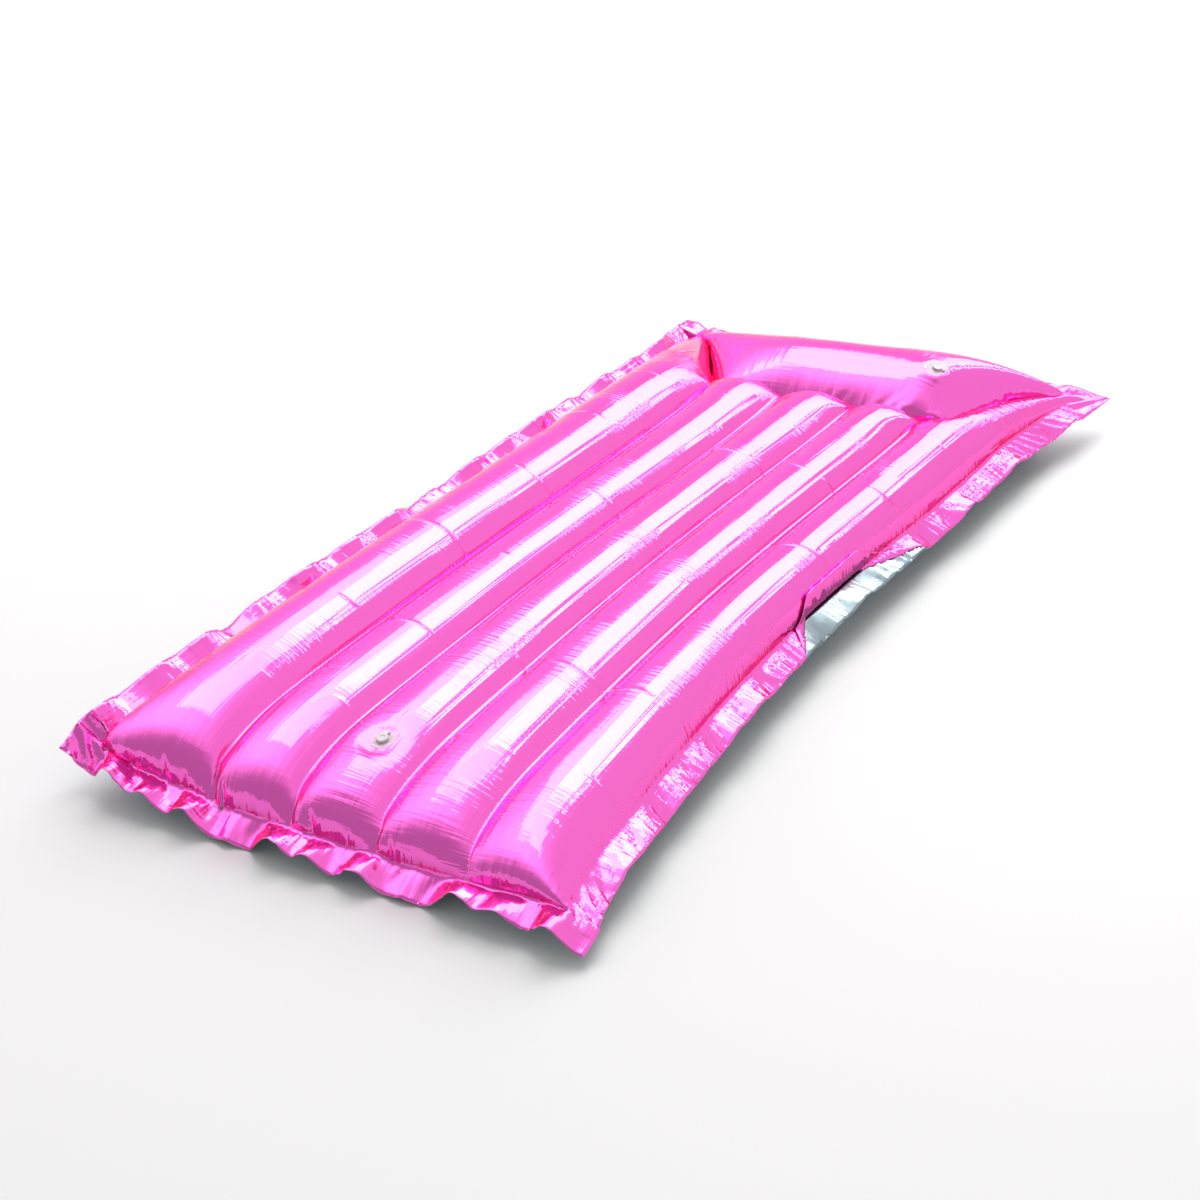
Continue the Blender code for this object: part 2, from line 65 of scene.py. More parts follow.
# The shape of the CAD model, from which the film is blown up
FOOT_Y, WAIST_Y, PILLOW_Y, HEAD_Y = -0.825, -0.030, 0.595, 0.875
FOOT_WELD_Z, CORNER_WELD_Z, PILLOW_WELD_Z = 0.022, 0.058, 0.074
MIDDLE_Z = 0.0675
LEFT_WELD_RISE = 0.018
PLAN_OFFSET = np.array([-0.0120, -0.0458, 0.0])
FOOT_CLOSING, FRONT_CLOSING = 0.195, 0.100     # lengths over which the tubes rise from their end welds
OUTER_NARROWING = 0.180      # length over which the outer tubes narrow towards the pillow
GATHER = 0.945               # width of a weld as a share of its flat width
OUTER_END_CHORD, CORNER_CHORD = 0.69, 0.98     # the same for the outer tubes at the pillow, and at the head
HEAD_SPREAD_POWER = 1.2
SIDE_BOW, HEAD_SKEW = 0.012, 0.034
FLARE_POWER = 1.5
FOOT_SCALLOP, FOOT_SETBACK = 0.012, 0.022
PILLOW_POWERS = (2.2, 3.6)   # how square the pillow's left and right ends are
PILLOW_TAPER_POWER = 1.5
PILLOW_ABOVE, PILLOW_BELOW = 1.05, 0.85
PINCHED = 0.999              # share of the taper from which the pillow is shut
STRAIGHTEST = 0.9999         # the largest chord that a film arc may have, as a share of its length
LEAST_ARC_ANGLE, LEAST_TUBE_ANGLE = 0.001, 0.01          # where the halving starts, in radians
HALVINGS = 40
LEFT_START = (-0.8, 0.0, 0.6)                  # directions of the flange on each side
RIGHT_START = (0.9, 0.0, -0.4)
FOOT_START = (0.0, -1.0, -0.1)
HEAD_START = (0.0, 1.0, -0.2)

# Seats of the mattress valve and the pillow valve: a point, and the direction out of the film
SEATS = (
    ((0.01434, -0.74228, 0.11099), (0.00045, -0.20106, 0.97958)),
    ((0.16911, 0.63696, 0.15250), (0.26012, -0.21058, 0.94233)),
)
SEAT_REACH, SEAT_DEPTH, SEAT_PULL = 0.024, 0.03, 0.5
SEAT_HOLE = 0.0095

# How the film gives: shares of its own length that it gains, and the lengths over which they fade
RUFFLE_SIDE, RUFFLE_END = 0.080, 0.060
FOOT_END, FOOT_GIVE, FOOT_GIVE_BELOW = 0.140, 0.27, 0.1
FRONT_END, FRONT_GIVE = 0.060, 0.60
WELD_SHRINK = 0.030
CORNER_GIVE, HEAD_GIVE = 0.070, 0.035
SHOULDER_AT, SHOULDER_SPREAD, SHOULDER_GIVE = 0.80, 0.16, 0.16
SKEW_GIVE, WAIST_FLAT = 0.037, 0.800
WEB_RISE_FOOT, WEB_RISE_HEAD = 0.180, 0.070

# The relaxation: level of detail, rounds and push of the air in each step, and what holds the film in a round
STEPS = ((0, 400, 0.00020), (1, 400, 0.00005), (2, 300, 0.0000125))
START_SEED, START_NOISE = 11, 0.0006
GRAVITY = np.array([0.0, 0.0, -0.05])
BEND, DAMPING = 0.02, 0.9
FLANGE_HOLD, HEAD_HOLD = 0.012, 0.022
SEAM_KEEP, FOOT_KEEP = (0.003, 0, 0.003), (0.003, 0.004, 0.006)
FRONT_KEEP, CORNER_KEEP = (0.003, 0.006, 0.010), (0.08, 0.2, 0.1)
FLOOR_GAP = 0.0006
TINY_LENGTH, TINY_AREA = 1e-9, 1e-12          # keep the divisions away from zero

# Lean of the flange: angle, height of its waves, their lengths, their seed, and the direction outwards
LEFT_LEAN = (0.62, 0.28, (0.50, 0.23, 0.11), 3, (-1.0, 0.0, 0.0))
RIGHT_LEAN = (-0.40, 0.16, (0.41, 0.19, 0.09), 4, (1.0, 0.0, 0.0))
FOOT_LEAN = (-0.25, 0.45, (0.27, 0.14, 0.07), 5, (0.0, -1.0, 0.0))
HEAD_LEAN = (-0.12, 0.25, (0.31, 0.12), 6, (0.0, 1.0, 0.0))
UPWARDS = (0.0, 0.0, 1.0)

# Pleats across the flange: height, then seed and spacings, and how their lines fan out
PLEAT, PLEAT_POWER = 0.0022, 0.7
PLEAT_COUNT, PLEATS_FROM, PLEAT_SIZES = 700, -1.0, (0.25, 1.0)
SIDE_PLEATS, END_PLEATS = (21, 0.007, 0.016), (22, 0.008, 0.018)
SIDE_FAN, SIDE_FAN_LENGTHS, SIDE_FAN_SEED = 0.35, (0.31, 0.13, 0.07), 7
END_FAN, END_FAN_LENGTHS, END_FAN_SEED = 0.3, (0.2, 0.09), 8
HEAD_FLANGE_SHARE = 0.7
CORNER_MARGIN = 2            # rows by which the smoothed right head corner reaches in past a flange's width

# The stretch of the right flange where the pink film is folded back up, in metres from the foot weld
FOLD_START, FOLD_END, FOLD_SLOPES = 0.800, 0.960, (0.50, 0.23)
FOLD_PLEATS, FOLD_FAN = (23, 0.010, 0.020), 0.2
FOLD_RUFFLE, FOLD_LIFT = 0.0016, 0.0040
FOLD_ROLL, FOLD_ROLL_LENGTH = 0.0012, 0.002

# Surfaces of the films beside the blown-up grid, and the rows of points that the webs have between them
FILM_OUTSIDE, FILM_INSIDE = 0.00040, 0.00010
WEB_FROM, WEB_TO, WEB_LEVELS = 0.004, 0.996, 7
WEB_START, WEB_END = 2, 1    # rows from the foot weld to a web's first, and from past its last to the pillow

# Heights of the pink film's bumps and widths of its puckers, in metres, and the folds of its packing:
# for each fold the distance from the foot weld and the strength
STREAK_BUMP, HATCH_BUMP, PACK_FOLD_BUMP = 0.00060, 0.0016, 0.0014
END_PUCKER_BUMP, SIDE_PUCKER_BUMP = 0.0030, 0.0022
END_PUCKER_WIDTH, SIDE_PUCKER_WIDTH = 0.030, 0.012
PACK_FOLD_WIDTH, PACK_FOLD_WOBBLE = 0.0022, 0.030
PACK_FOLDS = ((0.190, 0.4), (0.400, 0.9), (0.640, 1.0), (0.880, 0.8), (1.120, 0.9), (1.330, 0.4))

# Floor and studio: in mirrors the studio is brightest at the glow and darker on the wall towards -Y
FLOOR_HALF = 9
GLOW_AT, GLOW, GLOW_FROM, GLOW_POWER = (-0.52, 0.12, 0.85), 1.4, 0.46, 2.0
SKY = 0.93
WALL_FROM, WALL_TO, WALL_SHADE = -0.20, -0.60, -0.50
PLAIN = 0.50                 # strength of the world for matt surfaces
WHITE = (1.0, 1.0, 1.0)

# Lamps: name, place, aim, size, power in watts, colour
LAMPS = (
    ("far_sky", (-0.95, 6.5, 4.4), (-0.95, 0, 0), (3.1, 5.5), 285, WHITE),
    ("far_sky_strip", (1.55, 6.3, 4.8), (1.55, 0, 0), (0.50, 4.6), 42, WHITE),
    ("far_sky_left", (-3.95, 6.0, 6.2), (-3.2, 0, 1.0), (2.5, 2.6), 56, WHITE),
    ("overhead", (-2.20, 2.6, 7.3), (-2.2, 0.6, 0.3), (6.0, 4.7), 205, WHITE),
    ("warm_card", (-3.6, 6.1, 1.3), (0, 0, 0.2), (6.6, 2.6), 58, (1.0, 0.10, 0.58)),
)

# The photograph's camera, as fitted to the mat
SENSOR, LENS = 36.0, 74.67
CAMERA_AT = (1.59391, -2.92024, 1.66175)
CAMERA_RIGHT = (0.86739, 0.49751, -0.01091)
CAMERA_DOWN = (0.21686, -0.39764, -0.89154)
CAMERA_FORWARD = (-0.44789, 0.77095, -0.45280)


# Curves, waves and the film's grid
def mix(start, end, share):
    return start + (end - start) * share


def ease(share):
    share = np.clip(share, 0.0, 1.0)
    return share * share * (3 - 2 * share)


def closing(distance, length):
    """Half an ellipse: 0 at a weld, 1 from length onwards."""
    share = np.clip(distance / length, 0.0, 1.0)
    return np.sqrt(1 - (1 - share) ** 2)


def halved(low, high, holds):
    """The place between low and high up to which holds is true, by halving."""
    for _ in range(HALVINGS):
        middle = (low + high) / 2
        if holds(middle):
            low = middle
        else:
            high = middle
    return low


def arc(start, end, length, share, bulge):
    """Points of a film arc of that length between two welds of a cross-section."""
    across, up = end[0] - start[0], end[1] - start[1]
    chord = math.hypot(across, up)
    chord_share = min(chord / length, STRAIGHTEST)
    angle = halved(LEAST_ARC_ANGLE, math.pi, lambda half: math.sin(half) / half > chord_share)
    radius = length / (2 * angle)
    turn = (2 * share - 1) * angle
    along = (chord / 2 + radius * np.sin(turn)) / chord
    out = radius * (np.cos(turn) - math.cos(angle)) * bulge
    return start[0] + across * along - up / chord * out, start[1] + up * along + across / chord * out


def waves(places, lengths, seed):
    """A slow irregular wave of unit height along places, from seeded phases."""
    phases = np.random.default_rng(seed).uniform(0, 2 * math.pi, len(lengths))
    return sum(np.sin(2 * math.pi * places / length + phase)
               for length, phase in zip(lengths, phases)) / len(lengths) ** 0.5


def pleats(places, seed, low, high):
    """A zigzag of unit height with creases at random spacings from low to high."""
    generator = np.random.default_rng(seed)
    knots = np.cumsum(generator.uniform(low, high, PLEAT_COUNT)) + PLEATS_FROM
    up_and_down = np.where(np.arange(PLEAT_COUNT) % 2, 1, -1)
    heights = generator.uniform(*PLEAT_SIZES, PLEAT_COUNT) * up_and_down
    return np.interp(places, knots, heights)


def unit(vectors):
    return vectors / (np.linalg.norm(vectors, axis=-1, keepdims=True) + TINY_AREA)


def grid_normals(points):
    across, along = np.gradient(points, axis=1), np.gradient(points, axis=0)
    return unit(np.cross(across, along))


class Layout:
    """Rows and columns of the film grid at one level of detail."""

    def __init__(self, level):
        scale = 2 ** level
        self.flange = 2 * scale
        self.body, self.head = 80 * scale, 16 * scale
        self.seams = [self.flange]
        for columns in (11, 8, 8, 8, 9):
            self.seams.append(self.seams[-1] + columns * scale)
        self.columns = self.seams[5] + self.flange + 1
        self.foot = self.flange
        self.front = self.foot + self.body
        self.back = self.front + self.head
        self.rows = self.back + self.flange + 1

    def along(self):
        """Flat distance of each row from the foot weld."""
        rim = np.arange(1, self.flange + 1) * FLANGE / self.flange
        body = np.arange(self.body) * BODY_LENGTH / self.body
        head = BODY_LENGTH + np.arange(self.head + 1) * PILLOW_DEPTH / self.head
        return np.concatenate([-rim[::-1], body, head, BODY_LENGTH + PILLOW_DEPTH + rim])

    def flat(self):
        """Flat place (across, along) of every point. The welds beside the pillow run out to its corners."""
        grid = np.zeros((self.rows, self.columns, 2))
        marks_at = [0] + self.seams + [self.columns - 1]
        for row, distance in enumerate(self.along()):
            headward = min(max((distance - BODY_LENGTH) / PILLOW_DEPTH, 0.0), 1.0)
            left = mix(LEFT_FLAT, CORNER_WIDTH, headward)
            right = FLAT_WIDTH - mix(RIGHT_FLAT, CORNER_WIDTH, headward)
            third = (right - left) / 3
            marks = [-FLANGE, 0, left, left + third, left + 2 * third, right, FLAT_WIDTH, FLAT_WIDTH + FLANGE]
            grid[row, :, 0] = np.interp(np.arange(self.columns), marks_at, marks)
            grid[row, :, 1] = distance
        return grid

    def welded(self):
        """Where the two films are one: the flange, and the welds round the pillow."""
        weld = np.zeros((self.rows, self.columns), bool)
        weld[:self.foot + 1] = weld[self.back:] = True
        weld[:, :self.flange + 1] = weld[:, self.seams[5]:] = True
        weld[self.front, self.seams[1]:self.seams[4] + 1] = True
        weld[self.front:self.back + 1, [self.seams[1], self.seams[4]]] = True
        return weld

    def beyond(self):
        """0 up to the outer welds, 1 at the free edge of the flange."""
        column = np.arange(self.columns)
        row = np.arange(self.rows)
        side = np.maximum(self.flange - column, column - self.seams[5]) / self.flange
        end = np.maximum(self.foot - row, row - self.back) / self.flange
        return np.clip(side, 0, 1)[None, :], np.clip(end, 0, 1)[:, None]


# The start shape, which is that of the CAD model
def flare(y):
    """0 at the waist, 1 at the foot and head welds."""
    reach = HEAD_Y - WAIST_Y if y > WAIST_Y else WAIST_Y - FOOT_Y
    return min(abs(y - WAIST_Y) / reach, 1.0) ** FLARE_POWER


def round_chord(flat, turn):
    """Width of a round tube between two webs, or with turn between a web and the outer weld."""
    def radius(angle):
        return flat / (angle + (turn or angle))

    angle = halved(LEAST_TUBE_ANGLE, math.pi / 2, lambda half: 2 * radius(half) * math.cos(half) > WEB_HEIGHT)
    return radius(angle) * (math.sin(angle) + (1 if turn else math.sin(angle)))


CHORDS = (
    round_chord(LEFT_FLAT, math.pi / 2),
    round_chord(INNER_FLAT, 0),
    round_chord(RIGHT_FLAT, math.pi / 2),
)


def widths(y):
    """Widths of the left, inner and right tubes at y."""
    share = flare(y)
    near = float(ease(1 - (PILLOW_Y - y) / OUTER_NARROWING))
    left, inner, right = [mix(chord, flat * GATHER, share)
                          for chord, flat in zip(CHORDS, (LEFT_FLAT, INNER_FLAT, RIGHT_FLAT))]
    return (mix(left, LEFT_FLAT * OUTER_END_CHORD, near), inner,
            mix(right, RIGHT_FLAT * OUTER_END_CHORD, near))


def tube_row(seams, row, y, side):
    """Fills in one row of the five tubes at y; side is 1 on the pink film and -1 on the silver one."""
    left, inner, right = widths(y)
    half = (left + 3 * inner + right) / 2
    foot_open = float(closing(y - FOOT_Y, FOOT_CLOSING))
    front_open = float(closing(PILLOW_Y - y, FRONT_CLOSING))
    height = WEB_HEIGHT / 2 * foot_open * front_open * side
    near_front = float(ease(1 - (PILLOW_Y - y) / FRONT_CLOSING))
    middle = mix(mix(FOOT_WELD_Z, MIDDLE_Z, foot_open), PILLOW_WELD_Z, near_front)
    weld = [mix(MIDDLE_Z + rise, CORNER_WELD_Z, flare(y) ** 2) for rise in (LEFT_WELD_RISE, 0)]
    ends = [(-half, weld[0])]
    ends += [(-half + left + groove * inner, middle + height) for groove in range(4)]
    ends += [(half, weld[1])]
    near_foot = float(ease(1 - (y - FOOT_Y) / FOOT_CLOSING))
    for tube, flat in enumerate((LEFT_FLAT, INNER_FLAT, INNER_FLAT, INNER_FLAT, RIGHT_FLAT)):
        first, last = seams[tube], seams[tube + 1]
        share = np.linspace(0, 1, last - first + 1)
        x, z = arc(ends[tube], ends[tube + 1], flat, share, side)
        shift = near_foot * (FOOT_SCALLOP * 4 * share * (1 - share) + FOOT_SETBACK * (x / half) ** 2)
        row[first:last + 1] = np.stack([x, y + shift, z], -1)


def pillow_row(seams, row, headward, side):
    """Fills in one row of the pillow and of the tubes beside it; headward is 1 at the head's weld."""
    left, inner, right = widths(PILLOW_Y)
    half = (left + 3 * inner + right) / 2
    valley, y = mix(PILLOW_WELD_Z, CORNER_WELD_Z, headward), mix(PILLOW_Y, HEAD_Y, headward)
    outer = mix(half, FLAT_WIDTH / 2 * GATHER, headward ** HEAD_SPREAD_POWER)
    inner_at = []
    for hand, tube, flat in ((-1, 0, LEFT_FLAT), (1, 4, RIGHT_FLAT)):
        width = mix(flat, CORNER_WIDTH, headward)
        inner_at.append(outer - width * mix(OUTER_END_CHORD, CORNER_CHORD, headward ** 3))
        pair = [(hand * outer, valley), (hand * inner_at[-1], valley)]
        start, end = pair if hand < 0 else pair[::-1]
        first, last = seams[tube], seams[tube + 1]
        x, z = arc(start, end, width, np.linspace(0, 1, last - first + 1), side)
        row[first:last + 1] = np.stack([x, np.full(len(x), y), z], -1)
    first, last = seams[1], seams[4]
    across = np.linspace(0, 1, last - first + 1)
    fraction = across * 2 - 1
    end_flat = np.where(fraction < 0, LEFT_FLAT, RIGHT_FLAT) - CORNER_WIDTH
    front_half = 1.5 * INNER_FLAT
    taper = np.clip((np.abs(fraction) * (front_half + end_flat * headward) - front_half) / end_flat, 0, 1)
    run = (headward - taper) / np.maximum(1 - taper, 1 - PINCHED)
    run = np.clip(np.where(taper < PINCHED, run, 0), 0, 1)
    chord = PILLOW_DEPTH * (1 - taper) * 2 / math.pi
    power = np.where(fraction < 0, *PILLOW_POWERS)
    full = np.sqrt(np.maximum((1 - np.abs(fraction) ** power) * (1 - taper ** PILLOW_TAPER_POWER), 0))
    rise = PILLOW_DEPTH / math.pi * full * np.sin(math.pi * run)
    crown = rise * (PILLOW_ABOVE if side > 0 else -PILLOW_BELOW)
    row[first:last + 1, 0] = mix(-inner_at[0], inner_at[1], across)
    row[first:last + 1, 1] = mix(PILLOW_Y, HEAD_Y, taper) + chord / 2 * (1 - np.cos(math.pi * run))
    row[first:last + 1, 2] = mix(PILLOW_WELD_Z, CORNER_WELD_Z, taper) + crown


def start_flange(layout, shape):
    """Adds the flange of the start shape, straight out from its weld on each side."""
    edge, last = layout.flange, layout.columns - 1
    left, right, foot, head = np.array([LEFT_START, RIGHT_START, FOOT_START, HEAD_START])
    shape[:, :, :edge] = shape[:, :, edge:edge + 1]
    shape[:, :, last - edge + 1:] = shape[:, :, last - edge:last - edge + 1]
    for step in range(edge):
        out = FLANGE * (edge - step) / edge
        shape[:, :, step] += out * left
        shape[:, :, last - step] += out * right
    shape[:, :layout.foot] = shape[:, layout.foot:layout.foot + 1]
    shape[:, layout.back + 1:] = shape[:, layout.back:layout.back + 1]
    for step in range(edge):
        out = FLANGE * (edge - step) / edge
        shape[:, step] += out * foot
        shape[:, layout.rows - 1 - step] += out * head


def start_shape(layout):
    """The CAD model's own shape, on the film grid."""
    shape = np.zeros((2, layout.rows, layout.columns, 3))
    for row in range(layout.foot, layout.back + 1):
        for layer, side in enumerate((1, -1)):
            if row <= layout.front:
                y = mix(FOOT_Y, PILLOW_Y, (row - layout.foot) / layout.body)
                tube_row(layout.seams, shape[layer, row], y, side)
            else:
                pillow_row(layout.seams, shape[layer, row], (row - layout.front) / layout.head, side)
    start_flange(layout, shape)
    x, y = shape[..., 0], shape[..., 1]
    y += HEAD_SKEW * ease((y - WAIST_Y) / (HEAD_Y - WAIST_Y)) * x / (FLAT_WIDTH / 2)
    reach = np.where(y > WAIST_Y, HEAD_Y - WAIST_Y, WAIST_Y - FOOT_Y)
    x -= SIDE_BOW * (1 - 2 * np.minimum(np.abs(y - WAIST_Y) / reach, 1.0) ** FLARE_POWER)
    return shape + PLAN_OFFSET


# The blown-up shape: a relaxation of two flat films with webs between them
def edge_batches(flat, stretch):
    """Eight sets of film edges that share no point, with their lengths in both films."""
    rows, columns, _ = flat.shape
    batches = []
    for down, side in ((0, 1), (1, 0), (1, 1), (1, -1)):
        for parity in (0, 1):
            if down == 0:
                start = (slice(0, rows), slice(parity, columns - 1, 2))
                end = (slice(0, rows), slice(parity + 1, columns, 2))
            else:
                left, right = slice(0, columns - 1), slice(1, columns)
                whole = slice(0, columns)
                pair = {0: (whole, whole), 1: (left, right), -1: (right, left)}[side]
                start = (slice(parity, rows - 1, 2), pair[0])
                end = (slice(parity + 1, rows, 2), pair[1])
            step = flat[end] - flat[start]
            grow = (stretch[(slice(None), *start)] + stretch[(slice(None), *end)]) / 2
            batches.append((start, end, np.sqrt(((step * grow) ** 2).sum(-1))))
    return batches


def give(layout):
    """How much the film stretches at each point: frilled flanges, drawn-out tube ends, gathered welds."""
    flat = layout.flat()
    side, end = layout.beyond()
    stretch = np.ones((2, *flat.shape))
    stretch[..., 1] += RUFFLE_SIDE * side
    stretch[..., 0] += RUFFLE_END * end
    share, inner = np.zeros(layout.columns), np.zeros(layout.columns)
    for first, last in zip(layout.seams[:-1], layout.seams[1:]):
        share[first:last + 1] = np.linspace(0, 1, last - first + 1)
    crown = 4 * share * (1 - share)
    first, last = layout.seams[1], layout.seams[4]
    inner[first:last + 1] = 1
    along = flat[:, :1, 1]
    body = (along >= 0) & (along <= BODY_LENGTH)
    foot_end = np.exp(-(along / FOOT_END) ** 2)
    front_end = np.exp(-((BODY_LENGTH - along) / FRONT_END) ** 2)
    for layer, foot_give in enumerate((FOOT_GIVE, FOOT_GIVE_BELOW)):
        ends = foot_give * foot_end + FRONT_GIVE * front_end * inner
        stretch[layer, ..., 1] += body * (crown * ends - WELD_SHRINK)
    beside = np.ones(layout.columns)
    beside[first + 1:last] = 0
    stretch[..., 1] += CORNER_GIVE * (along > BODY_LENGTH) * beside
    stretch[..., 0] += HEAD_GIVE * (along > BODY_LENGTH)
    shoulder = np.zeros(layout.columns)
    off_shoulder = (np.linspace(0, 1, last - first + 1) - SHOULDER_AT) / SHOULDER_SPREAD
    shoulder[first:last + 1] = np.exp(-off_shoulder ** 2)
    stretch[..., 1] += SHOULDER_GIVE * (along > BODY_LENGTH) * shoulder
    stretch[..., 1] += SKEW_GIVE * (flat[..., 0] / FLAT_WIDTH * 2 - 1) * (along > WAIST_FLAT)
    return stretch


def flange_lean(layout):
    """Offsets of the flange's points from their weld: left, right, foot, head.
    The left side stands up behind its tube, the right side and the ends lie out and hang a little."""
    along, across = layout.flat()[:, 0, 1], layout.flat()[0, :, 0]
    out = (np.arange(layout.flange, 0, -1) * FLANGE / layout.flange)[:, None, None]

    def fan(places, lean, height, lengths, seed, outward):
        angle = lean + height * waves(places, lengths, seed)
        flat_part, rise = np.cos(angle)[None, :, None], np.sin(angle)[None, :, None]
        return out * (flat_part * np.array(outward) + rise * np.array(UPWARDS))

    left, right = fan(along, *LEFT_LEAN), fan(along, *RIGHT_LEAN)
    foot, head = fan(across, *FOOT_LEAN), fan(across, *HEAD_LEAN)
    return left.transpose(1, 0, 2), right[::-1].transpose(1, 0, 2), foot, head[::-1]


def anchored(layout):
    """How firmly each point keeps to the start shape: only the welds and grooves do."""
    keep = np.zeros((layout.rows, layout.columns, 3))
    keep[:, layout.seams] = SEAM_KEEP
    keep[layout.foot, layout.seams[0]:layout.seams[5] + 1] = FOOT_KEEP
    keep[layout.front, layout.seams[1]:layout.seams[4] + 1] = FRONT_KEEP
    keep[layout.back, [layout.seams[0], layout.seams[5]]] = CORNER_KEEP
    return keep


def seat_points(film):
    """Points of the pink film that lie under a valve's seat, with the seat's place."""
    found = []
    for origin, out in SEATS:
        origin, out = np.array(origin), np.array(out)
        gap = film - origin
        reach = np.sqrt((gap ** 2).sum(-1))
        height = np.abs(gap @ out)
        flat_reach = np.sqrt(np.maximum(reach ** 2 - height ** 2, 0))
        rows, columns = np.nonzero((flat_reach < SEAT_REACH) & (height < SEAT_DEPTH))
        found.append((rows, columns, origin, out))
    return found


def hold_edges(shape, batches):
    """Brings each film edge back to its own length."""
    for start, end, length in batches:
        first, second = shape[:, start[0], start[1]], shape[:, end[0], end[1]]
        gap = second - first
        now = np.sqrt((gap * gap).sum(-1))
        move = (0.5 * (now - length) / np.maximum(now, TINY_LENGTH))[..., None] * gap
        shape[:, start[0], start[1]] = first + move
        shape[:, end[0], end[1]] = second - move


def hold_webs(shape, grooves, web):
    """Keeps the films no further apart along the grooves than the webs are high."""
    top, bottom = shape[0][grooves], shape[1][grooves]
    gap = top - bottom
    now = np.sqrt((gap * gap).sum(-1))
    move = gap * (np.maximum(now - web, 0) / np.maximum(now, TINY_LENGTH) * 0.5)[..., None]
    shape[0][grooves], shape[1][grooves] = top - move, bottom + move


def hold_seats(film, seats):
    """Draws the pink film flat under each valve."""
    for rows, columns, origin, out in seats:
        near = film[rows, columns]
        height = (near - origin) @ out
        film[rows, columns] = near - (SEAT_PULL * height)[:, None] * out


def hold_flange(shape, layout, leans):
    """Leans the flange out from its weld on each side."""
    left, right, foot, head = leans
    first, last = layout.flange, layout.seams[5]
    shape[:, :, :first] += FLANGE_HOLD * (shape[:, :, first:first + 1] + left - shape[:, :, :first])
    shape[:, :, last + 1:] += FLANGE_HOLD * (shape[:, :, last:last + 1] + right - shape[:, :, last + 1:])
    first, last = layout.foot, layout.back
    shape[:, :first] += FLANGE_HOLD * (shape[:, first:first + 1] + foot - shape[:, :first])
    shape[:, last + 1:] += HEAD_HOLD * (shape[:, last:last + 1] + head - shape[:, last + 1:])


def relax(shape, layout, rounds, push, seats, anchor):
    """Film edges keep their length, the air pushes outwards, the webs hold, the floor carries."""
    flat, weld, keep = layout.flat(), layout.welded(), anchored(layout)
    batches = edge_batches(flat, give(layout))
    air = np.zeros(weld.shape)
    air[layout.foot + 1:layout.back, layout.seams[0] + 1:layout.seams[5]] = push
    air[weld] = 0
    rows = np.arange(layout.foot + 1, layout.front)
    grooves = np.ix_(rows, layout.seams[1:5])
    distance = flat[rows, 0, 1]
    web = WEB_HEIGHT * closing(distance, WEB_RISE_FOOT) * closing(BODY_LENGTH - distance, WEB_RISE_HEAD)
    outwards = np.array([1.0, -1.0])[:, None, None, None]
    inside = (slice(None), slice(1, -1), slice(1, -1))
    speed = np.zeros_like(shape)
    leans = flange_lean(layout)
    for _ in range(rounds):
        before = shape.copy()
        across = shape[:, 1:-1, 2:] - shape[:, 1:-1, :-2]
        along = shape[:, 2:, 1:-1] - shape[:, :-2, 1:-1]
        normal = unit(np.cross(across, along))
        shape = shape + speed * DAMPING + GRAVITY * push
        shape[inside] += normal * outwards * air[1:-1, 1:-1][None, :, :, None]
        around = (shape[:, 1:-1, 2:] + shape[:, 1:-1, :-2] + shape[:, 2:, 1:-1] + shape[:, :-2, 1:-1]) / 4
        shape[inside] += BEND * (around - shape[inside])
        hold_edges(shape, batches)
        hold_webs(shape, grooves, web[:, None])
        hold_seats(shape[0], seats)
        together = (shape[0] + shape[1]) / 2
        shape[0][weld] = shape[1][weld] = together[weld]
        shape += (keep * (anchor - together))[None]
        hold_flange(shape, layout, leans)
        shape[..., 2] = np.maximum(shape[..., 2], FLOOR_GAP)
        speed = shape - before
    return shape


def finer(shape):
    """The same shape on a grid of half the spacing."""
    count = shape.shape
    tall = np.zeros((2, 2 * count[1] - 1, count[2], 3))
    tall[:, ::2], tall[:, 1::2] = shape, (shape[:, 1:] + shape[:, :-1]) / 2
    wide = np.zeros((2, tall.shape[1], 2 * count[2] - 1, 3))
    wide[:, :, ::2], wide[:, :, 1::2] = tall, (tall[:, :, 1:] + tall[:, :, :-1]) / 2
    return wide


def blown_up():
    """Coarse to fine; returns the layout and the two films' points."""
    generator = np.random.default_rng(START_SEED)
    shape = None
    for level, rounds, push in STEPS:
        layout = Layout(level)
        start = start_shape(layout)
        anchor = start.mean(axis=0)
        shape = start if shape is None else finer(shape)
        shape = shape + generator.normal(0, START_NOISE / 2 ** level, shape.shape[1:])[None]
        seats = seat_points(shape[0]) if level else []
        shape = relax(shape, layout, rounds, push, seats, anchor)
    shape[..., 1] += anchor[..., 1].mean() - shape[..., 1].mean()
    return layout, shape


# Details that are laid on the blown-up films
def uncrossed(films):
    """Where the relaxation let the two films slip through each other, they change places."""
    crossed = films[0, ..., 2] < films[1, ..., 2]
    films[0][crossed], films[1][crossed] = films[1][crossed], films[0][crossed]
    return films


